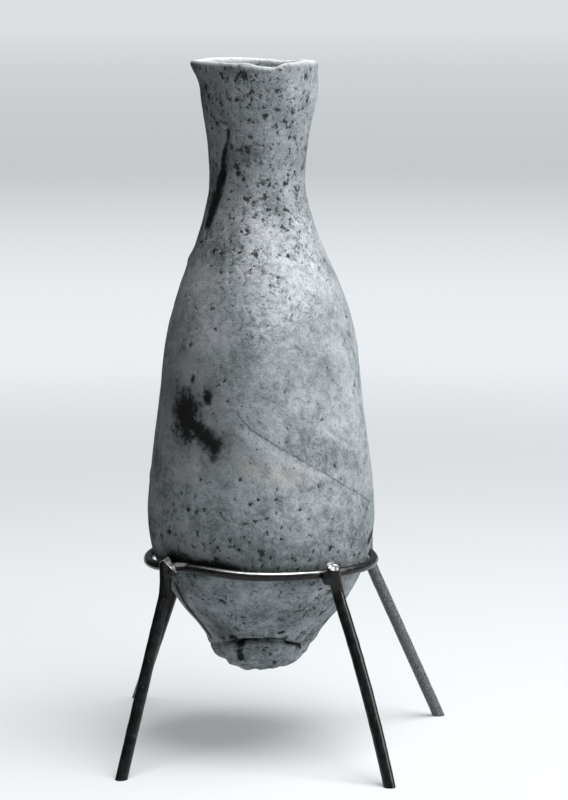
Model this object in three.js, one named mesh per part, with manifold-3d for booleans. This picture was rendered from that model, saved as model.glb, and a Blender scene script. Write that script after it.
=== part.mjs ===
// A hand-made ancient pottery bottle, standing in a ring on four splayed iron rods.
// Millimetres, +Z up. The front is towards -Y, and heights are above the floor.
import * as THREE from "three";
import { mergeVertices } from "three/addons/utils/BufferGeometryUtils.js";
import Module from "manifold-3d";

// Driving dimensions of the bottle
const RIM_HEIGHT = 341.3;
const BASE_HEIGHT = 37.6;
const WALL_BODY = 6.6;
const WALL_NECK = 4.8;
const WALL_THINS = { from: 190, to: 270 };
const LIP_THICKNESS = 4.4;
const INNER_FLOOR_HEIGHT = 54;
const BOTTLE_SIDES = 56;

// Outer outline of the bottle as [radius, height] stations
const TORN_END = [
  [0, BASE_HEIGHT],
  [9, 38.3],
  [16.8, 40.9],
  [22, 44.6],
  [24.2, 50.2],
];
const WALL = [
  [24.8, 51],
  [32.6, 61.5],
  [39.6, 69.9],
  [45, 78.4],
  [48.4, 84.6],
  [53.4, 96.4],
  [55.8, 107.5],
  [56.5, 118],
  [54.7, 141],
  [50.2, 176],
  [46.9, 205],
  [40, 229.5],
  [31.3, 251],
  [25.4, 269.5],
  [23.5, 282],
  [24.9, 302],
  [28.2, 322],
  [29, RIM_HEIGHT - LIP_THICKNESS / 2],
];
const INNER_FLOOR = [
  [0, INNER_FLOOR_HEIGHT],
  [12, INNER_FLOOR_HEIGHT + 1.4],
  [21.5, INNER_FLOOR_HEIGHT + 6],
];

// Hand-made unevenness of the bottle; azimuths are in degrees from the front, positive to the right
const NECK_LEAN = { out: -1.9, from: 215, to: 275, straightens: 0.35, top: 325 };
const LIP_FLARE = { azimuth: -90, spread: 38, out: 4.6, from: 324, sharpness: 1.6 };
const LIP_DIP = { azimuth: 6, spread: 26, down: 1.3, from: 326 };
const CREASE = {
  top: 314, bottom: 250, azimuthTop: -32, azimuthBottom: -68,
  depth: 1.7, halfWidth: 2.4, fullness: 0.7,
};
const LEDGE = { azimuth: -4, spread: 38, lift: 7, coneSlope: 0.74, depth: 1.5, from: 49, to: 52, fades: 72 };
const BACK_SWELL = { azimuth: 165, spread: 45, out: 1.5, middle: 95, height: 20 };
const CONE_SHIFT = { out: 0.5, from: 95, to: 70 };
const BASE_SHIFT = { out: -0.9, from: 56, to: 42 };

// Within this distance of the axis the unevenness fades away
const NEAR_AXIS = 8;

// Driving dimensions of the stand
const RING_HEIGHT = 93.2;
const RING_BOW = { up: 2.3, sharpness: 1.4 };
const RING_HUMP = { azimuth: -37, spread: 16, up: 2.4 };
const RING_RADIUS = 56.35;
const RING_ROD = 4.6;
const RING_SIDES = 60;
const RING_ROD_SIDES = 12;
const LEG_ROD = 6;
const LEG_ROD_SIDES = 12;
const LEG_BEND_LENGTH = 7;
const LEG_STEPS = 8;
const GAP = 0.3;
const LEG_RADIUS = RING_RADIUS + RING_ROD / 2 + LEG_ROD / 2 + GAP;
const BEAD = { radial: 3.4, tangential: 5.2, vertical: 4, radius: RING_RADIUS + 3.9, drop: 1.2 };

// Each leg: azimuth and height of its cut tip and of its bend, azimuth and distance of the foot,
// which way and how steeply the cut faces, and how far the rod bows out between bend and foot
const LEGS = [
  {
    name: "leg_front_left",
    tipAzimuth: -48.8, tip: 101.2, azimuth: -48.3, bend: 85.5, footAzimuth: -42, reach: 100.3,
    faces: -100, tilt: 32, bow: 0.3,
  },
  {
    name: "leg_front_right",
    tipAzimuth: 34.2, tip: 99.6, azimuth: 37, bend: 85.5, footAzimuth: 34.9, reach: 106.3,
    faces: 20, tilt: 30, bow: 2.6,
  },
  {
    name: "leg_back_right",
    tipAzimuth: 119.3, tip: 96.6, azimuth: 119.3, bend: 88.2, footAzimuth: 117.6, reach: 104.3,
    faces: 292, tilt: 38, bow: 0,
  },
  {
    name: "leg_back_left",
    tipAzimuth: 219, tip: 97, azimuth: 219, bend: 85.5, footAzimuth: 217.4, reach: 108,
    faces: 219, tilt: 12, bow: 0,
  },
];

const pottery = new THREE.MeshStandardMaterial({ color: 0x8f908e, roughness: 0.92, metalness: 0 });
const iron = new THREE.MeshStandardMaterial({ color: 0x262728, roughness: 0.45, metalness: 0.7 });

const wasm = await Module();
wasm.setup();

const radians = THREE.MathUtils.degToRad;
const smooth = THREE.MathUtils.smoothstep;

// A point at a distance from the upright axis, in the direction of an azimuth.
function around(radius, azimuth, height) {
  const angle = radians(azimuth);
  return new THREE.Vector3(radius * Math.sin(angle), -radius * Math.cos(angle), height);
}

// The angle in degrees from one azimuth to another, the short way round.
function turn(from, to) {
  return THREE.MathUtils.euclideanModulo(to - from + 180, 360) - 180;
}

// A soft bump of height 1 at 0, which is down to 0.6 one width away.
function bump(distance, width) {
  return Math.exp(-0.5 * (distance / width) ** 2);
}

function solidOf(geometry) {
  const bare = geometry.index ? geometry.toNonIndexed() : geometry.clone();
  bare.deleteAttribute("normal");
  bare.deleteAttribute("uv");
  const merged = mergeVertices(bare, 1e-4);
  return new wasm.Manifold(
    new wasm.Mesh({
      numProp: 3,
      vertProperties: merged.attributes.position.array,
      triVerts: new Uint32Array(merged.index.array),
    }),
  );
}

function geometryOf(solid) {
  const made = solid.getMesh();
  const geometry = new THREE.BufferGeometry();
  geometry.setAttribute("position", new THREE.BufferAttribute(made.vertProperties, 3));
  geometry.setIndex(new THREE.BufferAttribute(made.triVerts, 1));
  geometry.computeVertexNormals();
  return geometry;
}

function curveThrough(stations) {
  const points = stations.map(([radius, height]) => new THREE.Vector3(radius, height, 0));
  return new THREE.CatmullRomCurve3(points, false, "centripetal");
}

function flat(points) {
  return points.map((point) => new THREE.Vector2(Math.max(point.x, 0), point.y));
}

// The bottle's closed profile: up the outside from the torn end, over the lip and down the inside.
function bottleProfile() {
  const outside = curveThrough(WALL);
  const tornSteps = 5;
  const wallSteps = 27;
  const insideSteps = 17;
  const profile = [
    ...flat(curveThrough(TORN_END).getSpacedPoints(tornSteps)),
    ...flat(outside.getSpacedPoints(wallSteps)),
  ];

  const lipCentre = new THREE.Vector2(profile.at(-1).x - LIP_THICKNESS / 2, profile.at(-1).y);
  const lipSteps = 4;
  for (let i = 1; i <= lipSteps; i++) {
    const angle = (i / lipSteps) * Math.PI;
    const reach = new THREE.Vector2(Math.cos(angle), Math.sin(angle));
    profile.push(reach.multiplyScalar(LIP_THICKNESS / 2).add(lipCentre));
  }

  const inside = INNER_FLOOR.map(([radius, height]) => new THREE.Vector3(radius, height, 0));
  const innerStations = 12;
  const firstShare = 0.055;
  const lastShare = 0.985;
  for (let i = 0; i < innerStations; i++) {
    const share = THREE.MathUtils.lerp(firstShare, lastShare, i / (innerStations - 1));
    const point = outside.getPointAt(share);
    const tangent = outside.getTangentAt(share);
    const thinned = smooth(point.y, WALL_THINS.from, WALL_THINS.to);
    const wall = THREE.MathUtils.lerp(WALL_BODY, WALL_NECK, thinned);
    inside.push(new THREE.Vector3(point.x - wall * tangent.y, point.y + wall * tangent.x, 0));
  }
  const insideCurve = new THREE.CatmullRomCurve3(inside, false, "centripetal");
  return [...profile, ...flat(insideCurve.getSpacedPoints(insideSteps)).reverse()];
}

// Moves a point of the true lathe form to where the potter's hand left it.
function unevenBottle(point, outside) {
  const { x, y, z } = point;
  let radius = Math.hypot(x, y);
  const azimuth = THREE.MathUtils.radToDeg(Math.atan2(x, -y));
  let height = z;
  const offAxis = Math.min(radius / NEAR_AXIS, 1);

  const flare = LIP_FLARE.out * smooth(z, LIP_FLARE.from, RIM_HEIGHT) ** LIP_FLARE.sharpness;
  radius += offAxis * flare * bump(turn(LIP_FLARE.azimuth, azimuth), LIP_FLARE.spread);
  const dip = LIP_DIP.down * smooth(z, LIP_DIP.from, RIM_HEIGHT);
  height -= dip * bump(turn(LIP_DIP.azimuth, azimuth), LIP_DIP.spread);

  if (outside) {
    const share = (CREASE.top - z) / (CREASE.top - CREASE.bottom);
    const centre = THREE.MathUtils.lerp(CREASE.azimuthTop, CREASE.azimuthBottom, share);
    const along = Math.sin(Math.PI * THREE.MathUtils.clamp(share, 0, 1)) ** CREASE.fullness;
    const across = radians(turn(centre, azimuth)) * radius;
    radius -= offAxis * CREASE.depth * along * bump(across, CREASE.halfWidth);

    const slide = LEDGE.lift * bump(turn(LEDGE.azimuth, azimuth), LEDGE.spread);
    const nearLedge = Math.min(smooth(z, BASE_HEIGHT, LEDGE.from), 1 - smooth(z, LEDGE.to, LEDGE.fades));
    height += slide * nearLedge;
    radius += offAxis * slide * nearLedge * LEDGE.coneSlope;
    const underLedge = z < WALL[0][1] ? smooth(z, BASE_HEIGHT, LEDGE.from) : 0;
    radius -= LEDGE.depth * underLedge * (slide / LEDGE.lift);

    const swell = BACK_SWELL.out * bump(z - BACK_SWELL.middle, BACK_SWELL.height);
    radius += offAxis * swell * bump(turn(BACK_SWELL.azimuth, azimuth), BACK_SWELL.spread);
  }

  let lean = NECK_LEAN.out * smooth(z, NECK_LEAN.from, NECK_LEAN.to);
  lean *= 1 - NECK_LEAN.straightens * smooth(z, NECK_LEAN.to, NECK_LEAN.top);
  for (const shift of [CONE_SHIFT, BASE_SHIFT]) lean += shift.out * (1 - smooth(z, shift.to, shift.from));
  const angle = radians(azimuth);
  return new THREE.Vector3(radius * Math.sin(angle) + lean, -radius * Math.cos(angle), height);
}

function bottleGeometry() {
  const profile = bottleProfile();
  const geometry = new THREE.LatheGeometry(profile, BOTTLE_SIDES);
  geometry.rotateX(Math.PI / 2);
  const lipIndex = profile.findIndex((point) => point.y >= RIM_HEIGHT - 0.01);
  const place = geometry.attributes.position;
  const point = new THREE.Vector3();
  for (let i = 0; i < place.count; i++) {
    point.fromBufferAttribute(place, i);
    const moved = unevenBottle(point, i % profile.length < lipIndex);
    place.setXYZ(i, moved.x, moved.y, moved.z);
  }
  return geometry;
}

// Height of the ring's centreline: it bows up at the front, and has a hump where it was bent to the first leg.
function ringHeight(azimuth) {
  const bow = RING_BOW.up * Math.max(Math.cos(radians(azimuth)), 0) ** RING_BOW.sharpness;
  return RING_HEIGHT + bow + RING_HUMP.up * bump(turn(RING_HUMP.azimuth, azimuth), RING_HUMP.spread);
}

function ringGeometry(rodRadius) {
  const ring = new THREE.TorusGeometry(RING_RADIUS, rodRadius, RING_ROD_SIDES, RING_SIDES);
  const place = ring.attributes.position;
  for (let i = 0; i < place.count; i++) {
    const azimuth = THREE.MathUtils.radToDeg(Math.atan2(place.getX(i), -place.getY(i)));
    place.setZ(i, place.getZ(i) + ringHeight(azimuth));
  }
  return ring;
}

// The centreline of a leg: upright at the ring, one soft bend, then a slightly bowed slope out to the foot.
// It takes eight steps: one upright, four in the bend and three down the slope.
class BentRod extends THREE.Curve {
  constructor(top, corner, aim, end) {
    super();
    const toTop = top.clone().sub(corner).setLength(LEG_BEND_LENGTH);
    const toAim = aim.clone().sub(corner).setLength(LEG_BEND_LENGTH);
    this.upright = new THREE.LineCurve3(top, corner.clone().add(toTop));
    this.bend = new THREE.QuadraticBezierCurve3(this.upright.v2, corner, corner.clone().add(toAim));
    this.slope = new THREE.QuadraticBezierCurve3(this.bend.v2, aim, end);
  }

  getPoint(share) {
    const step = share * LEG_STEPS;
    if (step <= 1) return this.upright.getPoint(step);
    if (step <= 5) return this.bend.getPoint((step - 1) / 4);
    return this.slope.getPoint((step - 5) / 3);
  }

  getUtoTmapping(share) {
    return share;
  }
}

function roundSection(diameter, sides) {
  const corners = [];
  for (let i = 0; i < sides; i++) {
    const angle = (i / sides) * 2 * Math.PI;
    corners.push(new THREE.Vector2(Math.cos(angle), Math.sin(angle)).multiplyScalar(diameter / 2));
  }
  return new THREE.Shape(corners);
}

function braze(leg) {
  const bead = new THREE.SphereGeometry(1, 12, 8);
  bead.scale(BEAD.tangential, BEAD.radial, BEAD.vertical);
  bead.rotateZ(radians(leg.tipAzimuth));
  const centre = around(BEAD.radius, leg.tipAzimuth, ringHeight(leg.tipAzimuth) - BEAD.drop);
  return solidOf(bead.translate(centre.x, centre.y, centre.z));
}

// What is above the slanted cut at a leg's tip.
function tipCut(leg) {
  const size = 4 * LEG_ROD;
  const cut = new THREE.BoxGeometry(size, size, size).translate(0, 0, size / 2);
  cut.rotateX(radians(leg.tilt));
  cut.rotateZ(radians(leg.faces));
  const centre = around(LEG_RADIUS, leg.tipAzimuth, leg.tip);
  return solidOf(cut.translate(centre.x, centre.y, centre.z));
}

function legGeometry(leg) {
  const spare = 8;
  const corner = around(LEG_RADIUS, leg.azimuth, leg.bend);
  const tip = around(LEG_RADIUS, leg.tipAzimuth, leg.tip);
  const top = tip.clone().add(tip.clone().sub(corner).setLength(spare));
  const foot = around(leg.reach, leg.footAzimuth, 0);
  const past = foot.clone().add(foot.clone().sub(corner).setLength(spare));
  const aim = corner.clone().lerp(past, 0.5).add(around(2 * leg.bow, leg.footAzimuth, 0));
  const rod = new THREE.ExtrudeGeometry(roundSection(LEG_ROD, LEG_ROD_SIDES), {
    steps: LEG_STEPS,
    extrudePath: new BentRod(top, corner, aim, past),
  });
  const floorWidth = 500;
  const floorDepth = 50;
  const floor = new THREE.BoxGeometry(floorWidth, floorWidth, floorDepth).translate(0, 0, -floorDepth / 2);
  const made = solidOf(rod)
    .subtract(tipCut(leg))
    .add(braze(leg))
    .subtract(solidOf(ringGeometry(RING_ROD / 2 + GAP)))
    .subtract(solidOf(floor));
  return geometryOf(made);
}

function piece(name, geometry, material) {
  const mesh = new THREE.Mesh(geometry, material);
  mesh.name = name;
  return mesh;
}

// The bottle and its stand, around the bottle's own axis
const object = new THREE.Group();
object.add(piece("bottle", bottleGeometry(), pottery));
object.add(piece("stand_ring", ringGeometry(RING_ROD / 2), iron));
for (const leg of LEGS) object.add(piece(leg.name, legGeometry(leg), iron));

// The origin is the middle of the object's floor plan, on the floor
const box = new THREE.Box3().setFromObject(object, true);
const middle = box.getCenter(new THREE.Vector3());
object.position.set(-middle.x, -middle.y, -box.min.z);

const group = new THREE.Group();
group.add(object);

export default group;
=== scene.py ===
"""The looks of an ancient pottery bottle, standing in a ring on four splayed iron rods."""
import math
import random

import bpy
from mathutils import Euler, Matrix, Vector, noise
from mathutils.kdtree import KDTree


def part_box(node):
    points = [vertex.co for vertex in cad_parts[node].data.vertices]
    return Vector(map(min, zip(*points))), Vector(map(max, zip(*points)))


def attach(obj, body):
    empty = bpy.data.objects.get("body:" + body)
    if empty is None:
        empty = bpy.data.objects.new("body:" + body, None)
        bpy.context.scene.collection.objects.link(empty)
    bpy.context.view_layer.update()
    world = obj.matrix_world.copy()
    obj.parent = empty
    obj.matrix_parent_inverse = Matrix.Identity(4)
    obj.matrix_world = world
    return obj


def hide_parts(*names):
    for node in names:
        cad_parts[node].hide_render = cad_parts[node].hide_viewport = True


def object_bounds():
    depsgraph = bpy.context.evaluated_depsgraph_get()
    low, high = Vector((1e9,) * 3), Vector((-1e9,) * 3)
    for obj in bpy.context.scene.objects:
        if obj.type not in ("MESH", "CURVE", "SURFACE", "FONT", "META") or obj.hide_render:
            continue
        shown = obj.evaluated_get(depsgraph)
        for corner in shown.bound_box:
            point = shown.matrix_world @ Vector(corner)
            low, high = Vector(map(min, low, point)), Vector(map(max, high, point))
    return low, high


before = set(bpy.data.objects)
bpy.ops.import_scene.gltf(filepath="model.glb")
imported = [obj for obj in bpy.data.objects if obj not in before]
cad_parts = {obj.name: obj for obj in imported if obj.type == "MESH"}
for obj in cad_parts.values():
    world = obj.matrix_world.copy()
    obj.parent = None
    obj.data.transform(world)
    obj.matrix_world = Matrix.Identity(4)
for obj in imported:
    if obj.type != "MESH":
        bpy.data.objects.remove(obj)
CAD_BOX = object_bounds()
bpy.ops.object.select_all(action="DESELECT")

# The camera
# The photograph was taken from 1.5 m in front of the bottle and 0.4 m above the floor, looking a little down.
MM = 0.001
ring_low, ring_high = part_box("stand_ring")
AXIS = Vector(((ring_low.x + ring_high.x) / 2, (ring_low.y + ring_high.y) / 2, 0))
CAMERA_DISTANCE = 1.5
CAMERA_HEIGHT = 0.4
CAMERA_PITCH = 8.6
CAMERA_LENS = 137.58
CAMERA_SENSOR = 36
PHOTO_LONG_SIDE = 800
AXIS_LEFT_OF_MIDDLE = 23.0

bpy.ops.object.camera_add(location=AXIS + Vector((0, -CAMERA_DISTANCE, CAMERA_HEIGHT)))
camera = bpy.context.object
camera.rotation_euler = Euler((math.radians(90 - CAMERA_PITCH), 0, 0))
camera.data.lens = CAMERA_LENS
camera.data.sensor_width = CAMERA_SENSOR
camera.data.shift_x = AXIS_LEFT_OF_MIDDLE / PHOTO_LONG_SIDE
camera.data.clip_start = 0.01
camera.data.clip_end = 100
bpy.context.scene.camera = camera
bpy.context.scene.view_settings.view_transform = "Standard"


# The studio
# A pale paper floor that partly glows near the bottle, which lightens the bottle's shadow on it, and only
# glows further off, with a glow that darkens far behind; a large soft light overhead and a softer one from
# the right. A black card on the left, out of the picture, keeps the floor's light off the bottle's left side.
def put(tree, kind, inputs=None, **options):
    """Adds a shader node. A socket among its inputs is linked, and anything else is set as the value."""
    made = tree.nodes.new("ShaderNode" + kind)
    for name, value in options.items():
        setattr(made, name, value)
    for name, value in (inputs or {}).items():
        if isinstance(value, bpy.types.NodeSocket):
            tree.links.new(value, made.inputs[name])
        else:
            made.inputs[name].default_value = value
    return made


def ranged(tree, value, start, end, low=0, high=1, soft=False):
    """A value taken from the range start to end to the range low to high, and held at both ends."""
    inputs = {"Value": value, "From Min": start, "From Max": end, "To Min": low, "To Max": high}
    slope = "SMOOTHSTEP" if soft else "LINEAR"
    return put(tree, "MapRange", inputs, interpolation_type=slope).outputs["Result"]


def vectors(tree, operation, *values, **named):
    """One step of vector arithmetic."""
    made = put(tree, "VectorMath", {**dict(enumerate(values)), **named}, operation=operation)
    return made.outputs["Value" if operation in ("LENGTH", "DOT_PRODUCT") else "Vector"]


def new_material(name):
    """A material with no nodes in it yet, and its node tree."""
    made = bpy.data.materials.new(name)
    made.use_nodes = True
    made.node_tree.nodes.clear()
    return made, made.node_tree


def surface(tree, kind, inputs):
    """Gives a material its shader, with these inputs."""
    put(tree, "OutputMaterial", {"Surface": put(tree, kind, inputs).outputs[0]})


def grey(level, tint=(1, 1, 1)):
    """A grey as a colour, a little tinted."""
    return (level * tint[0], level * tint[1], level * tint[2], 1)


def new_light(name, place, width, height, watts):
    """A soft rectangular light, placed as seen from the foot of the axis and facing the bottle's middle."""
    place = AXIS + Vector(place)
    bpy.ops.object.light_add(type="AREA", location=place)
    light = bpy.context.object
    light.name = name
    light.rotation_euler = (LIT_MIDDLE - place).to_track_quat("-Z", "Y").to_euler()
    light.data.shape = "RECTANGLE"
    light.data.size = width
    light.data.size_y = height
    light.data.energy = watts
    return light


def leave_out(name, piece, lights, role):
    """Leaves a piece out of what some lights fall on (the receivers) or are stopped by (the blockers)."""
    group = bpy.data.collections.new(name)
    group.objects.link(piece)
    for light in lights:
        setattr(light.light_linking, role + "_collection", group)
    group.collection_objects[0].light_linking.link_state = "EXCLUDE"


FLOOR_RADIUS, FLOOR_SIDES = 30, 96
FLOOR_GREY = 0.92
GLOW_SHARE = 0.3
FADE_FROM, FADE_TO = 0.6, 1.5
HAZE_REACH = 12.0
HAZE = [(0.0, 0.93), (2.0, 0.9), (3.2, 0.66), (4.3, 0.55), (12.0, 0.8)]
COOL = (0.94, 0.972, 1.0)
AIR_GLOW = 0.16
LIT_MIDDLE = AXIS + Vector((0, 0, 0.17))
OVERHEAD_LIGHT = dict(place=(0.3, -0.22, 1.4), width=1.0, height=1.0, watts=25)
RIGHT_LIGHT = dict(place=(1.4, -0.35, 0.85), width=0.8, height=0.9, watts=20.5)
CARD_PLACE = (-0.2, 0.02, 0.24)
CARD_SIDES = (0.46, 0.6, 1)
CARD_GREY = 0.03

bpy.ops.mesh.primitive_circle_add(vertices=FLOOR_SIDES, radius=FLOOR_RADIUS, fill_type="NGON")
floor = bpy.context.object
floor.name = "floor"
floor_paper, tree = new_material("floor_paper")
away = vectors(tree, "LENGTH", put(tree, "TexCoord").outputs["Object"])
haze = put(tree, "ValToRGB", {"Fac": ranged(tree, away, 0, HAZE_REACH)})
haze.color_ramp.interpolation = "B_SPLINE"
ends = haze.color_ramp.elements
ends[0].color, ends[1].color = grey(HAZE[0][1], COOL), grey(HAZE[-1][1], COOL)
for distance, level in HAZE[1:-1]:
    ends.new(distance / HAZE_REACH).color = grey(level, COOL)
paper = put(tree, "BsdfDiffuse", {"Color": grey(FLOOR_GREY, COOL)}).outputs[0]
# The floor's glow is painted light: a share of the floor near the bottle, and all of it far off
glow = put(tree, "Emission", {"Color": haze.outputs["Color"]}).outputs[0]
glow_share = ranged(tree, away, FADE_FROM, FADE_TO, GLOW_SHARE, soft=True)
surface(tree, "MixShader", {0: glow_share, 1: paper, 2: glow})
floor.data.materials.append(floor_paper)

world = bpy.data.worlds.new("studio_air")
world.use_nodes = True
air = world.node_tree.nodes["Background"].inputs
air["Color"].default_value = grey(1, COOL)
air["Strength"].default_value = AIR_GLOW
bpy.context.scene.world = world

overhead_light = new_light("overhead_softbox", **OVERHEAD_LIGHT)
right_light = new_light("right_softbox", **RIGHT_LIGHT)
leave_out("not_lit_from_the_right", floor, [right_light], "receiver")

bpy.ops.mesh.primitive_plane_add(size=1, location=AXIS + Vector(CARD_PLACE), rotation=(0, math.pi / 2, 0))
card = bpy.context.object
card.name = "black_card"
card.scale = CARD_SIDES
card_black, tree = new_material("card_black")
surface(tree, "BsdfDiffuse", {"Color": grey(CARD_GREY)})
card.data.materials.append(card_black)
card.visible_camera = False
leave_out("no_shadow_from_the_card", card, [overhead_light, right_light], "blocker")
bpy.ops.object.select_all(action="DESELECT")


# The stand's ring
# A length of thin iron rod, bent into a circle and butt-welded at the back. It bows up a little at the front,
# and humps where it was bent to the front left leg. Black and half shiny, with rust in its roughness, and a
# painted highlight of bright metal along its upper front.

# Lengths are in mm, and azimuths in degrees around the bottle's axis: 0 is the front, and 90 the right
RING_RADIUS = 56.35
RING_ROD = 4.6
RING_STEPS, ROD_STEPS = 240, 24
RING_HEIGHT = 93.2
RING_BOW, RING_BOW_SHARPNESS = 2.3, 1.4
HUMP_AZIMUTH, HUMP_SPREAD, HUMP_UP = -37, 16, 2.4
WELD_AZIMUTH, WELD_WIDTH, WELD_PROUD = 172, 1.6, 0.28
ROD_WOBBLE = 0.12
RING_WOBBLE_LENGTH = 6
# Bare metal: the ground braze beside the front left leg. A painted highlight: a streak of bright metal along
# the rod's upper front, where the highlight falls
GROUND_AZIMUTH, GROUND_SPREAD, GROUND_TILTS, GROUND_EDGE = -43, 3.0, (10, 40), (0.4, 0.7)
HIGHLIGHT_AZIMUTH, HIGHLIGHT_SPREAD, HIGHLIGHT_TILT, HIGHLIGHT_WIDTH, HIGHLIGHT_SHINE = 5, 19, 46, 6.5, 1.15
BARE_FRAY, BARE_FRAY_LENGTH = 0.8, 1.7


def turn(start, end):
    """The angle in degrees from one azimuth to another, the short way round."""
    return (end - start + 180) % 360 - 180


def bump(distance, width):
    """A soft bump of height 1 at 0, which is down to 0.6 one width away."""
    return math.exp(-0.5 * (distance / width) ** 2)


def smoothstep(value, start, end):
    """0 up to the start, 1 from the end on, and a soft slope between them."""
    share = min(max((value - start) / (end - start), 0), 1)
    return share * share * (3 - 2 * share)


def around(radius, azimuth, height):
    """A point at a distance from the bottle's axis."""
    angle = math.radians(azimuth)
    return Vector((radius * math.sin(angle), -radius * math.cos(angle), height))


def azimuth_of(point):
    return math.degrees(math.atan2(point.x, -point.y))


def ring_height(azimuth):
    """Height of the ring's centreline in mm."""
    bow = RING_BOW * max(math.cos(math.radians(azimuth)), 0) ** RING_BOW_SHARPNESS
    return RING_HEIGHT + bow + HUMP_UP * bump(turn(HUMP_AZIMUTH, azimuth), HUMP_SPREAD)


def into_place(piece):
    """Takes a mesh in mm around the bottle's axis to the part's frame, and keeps it within the CAD's box."""
    piece.data.transform(Matrix.Translation(AXIS) @ Matrix.Scale(MM, 4))
    low, high = CAD_BOX
    flat = [min(max(c, a), b) for vertex in piece.data.vertices for c, a, b in zip(vertex.co, low, high)]
    piece.data.vertices.foreach_set("co", flat)
    piece.data.update()


def pick_only(piece):
    """Selects one piece and nothing else, and makes it the active one."""
    bpy.ops.object.select_all(action="DESELECT")
    piece.select_set(True)
    bpy.context.view_layer.objects.active = piece


def smooth_edges(piece, degrees):
    """Shades a piece smooth, apart from edges sharper than this."""
    pick_only(piece)
    bpy.ops.object.shade_smooth_by_angle(angle=math.radians(degrees))
    piece.select_set(False)


bpy.ops.mesh.primitive_torus_add(
    major_segments=RING_STEPS, minor_segments=ROD_STEPS, major_radius=RING_RADIUS, minor_radius=RING_ROD / 2,
)
ring = bpy.context.object
ring.name = "bent_rod_ring"
# How bright the metal is: bare at the ground braze, and a painted highlight along the front
bare_and_highlight_layer = ring.data.attributes.new("bare_and_highlight", "FLOAT", "POINT")
for vertex in ring.data.vertices:
    azimuth = azimuth_of(vertex.co)
    centre = around(RING_RADIUS, azimuth, 0)
    out_of_rod = vertex.co - centre
    outward = math.hypot(vertex.co.x, vertex.co.y) - RING_RADIUS
    tilt = math.degrees(math.atan2(out_of_rod.z, outward))
    frayed = 1 + BARE_FRAY * noise.noise(vertex.co / BARE_FRAY_LENGTH)
    ground = bump(turn(GROUND_AZIMUTH, azimuth), GROUND_SPREAD) * smoothstep(tilt, *GROUND_TILTS)
    # The painted highlight: bright metal on the rod's upper front, where the light's highlight falls
    painted_highlight = bump(turn(HIGHLIGHT_AZIMUTH, azimuth), HIGHLIGHT_SPREAD) * bump(tilt - HIGHLIGHT_TILT, HIGHLIGHT_WIDTH)
    bright = max(smoothstep(ground, *GROUND_EDGE), HIGHLIGHT_SHINE * painted_highlight)
    bare_and_highlight_layer.data[vertex.index].value = frayed * bright
    weld = WELD_PROUD * bump(math.radians(turn(WELD_AZIMUTH, azimuth)) * RING_RADIUS, WELD_WIDTH)
    wobble = ROD_WOBBLE * noise.noise(vertex.co / RING_WOBBLE_LENGTH)
    out_of_rod *= 1 + 2 * (weld + wobble) / RING_ROD
    vertex.co = centre + out_of_rod + Vector((0, 0, ring_height(azimuth)))
into_place(ring)
smooth_edges(ring, 60)


def painted(tree, name):
    """The value painted on the mesh under a name."""
    return put(tree, "Attribute", attribute_name=name, attribute_type="GEOMETRY").outputs["Fac"]


def in_mm(tree):
    """Object coordinates in mm, centred on the bottle's axis."""
    place = put(tree, "TexCoord").outputs["Object"]
    return put(tree, "Mapping", {"Vector": place, "Location": -AXIS / MM, "Scale": (1 / MM,) * 3}).outputs[0]


def noisy(tree, point, scale, detail, roughness=0.5, distortion=0, output="Fac"):
    """A noise at a point in mm. The larger its scale, the finer it is."""
    inputs = {"Vector": point, "Scale": scale, "Detail": detail, "Roughness": roughness}
    return put(tree, "TexNoise", {**inputs, "Distortion": distortion}).outputs[output]


def reckon(tree, operation, *values):
    """One step of arithmetic."""
    return put(tree, "Math", dict(enumerate(values)), operation=operation).outputs[0]


def plus(tree, base, *shares):
    """A base, with its share of each value added to it."""
    for value, share in shares:
        base = reckon(tree, "MULTIPLY_ADD", value, share, base)
    return base


def laid_over(tree, mask, under, over):
    """One colour laid over another where a mask is."""
    return put(tree, "Mix", {"Factor": mask, 6: under, 7: over}, data_type="RGBA").outputs[2]


def new_group(name, **sockets):
    """A node group that puts out a mask, and its input sockets, each with its kind."""
    group = bpy.data.node_groups.new(name, "ShaderNodeTree")
    for socket, kind in sockets.items():
        group.interface.new_socket(name=socket, in_out="INPUT", socket_type="NodeSocket" + kind)
    group.interface.new_socket(name="Mask", in_out="OUTPUT", socket_type="NodeSocketFloat")
    return group, group.nodes.new("NodeGroupInput").outputs


def put_out(group, mask):
    """Makes a value the mask that a group puts out."""
    group.links.new(mask, group.nodes.new("NodeGroupOutput").inputs["Mask"])


def use(tree, group, **inputs):
    """The mask of a node group, placed in a material with its own values."""
    return put(tree, "Group", inputs, node_tree=group).outputs["Mask"]


# Specks of a given size in cells of a given size. Only some cells have one, and a noise frays their edges.
FRAYING = dict(scale=1.1, detail=3.0)
HALF = (0.5, 0.5, 0.5)
SPECK_SIZES = (0.55, 1.25)
SPECK_EDGE = (1.15, 0.7)
specks, given = new_group("specks", Point="Vector", Cell="Float", Radius="Float", Share="Float", Fray="Float")
fray = vectors(specks, "SUBTRACT", noisy(specks, given["Point"], **FRAYING, output="Color"), HALF)
fray = vectors(specks, "SCALE", fray, Scale=given["Fray"])
frayed = vectors(specks, "ADD", given["Point"], fray)
per_cell = reckon(specks, "DIVIDE", 1, given["Cell"])
cells = put(specks, "TexVoronoi", {"Vector": frayed, "Scale": per_cell}).outputs
pick = put(specks, "SeparateColor", {0: cells["Color"]}).outputs
chosen = reckon(specks, "LESS_THAN", pick[0], given["Share"])
size = reckon(specks, "DIVIDE", given["Radius"], given["Cell"])
size = reckon(specks, "MULTIPLY", size, ranged(specks, pick[1], 0, 1, *SPECK_SIZES))
ratio = reckon(specks, "DIVIDE", cells["Distance"], size)
put_out(specks, reckon(specks, "MULTIPLY", ranged(specks, ratio, *SPECK_EDGE, soft=True), chosen))

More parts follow.
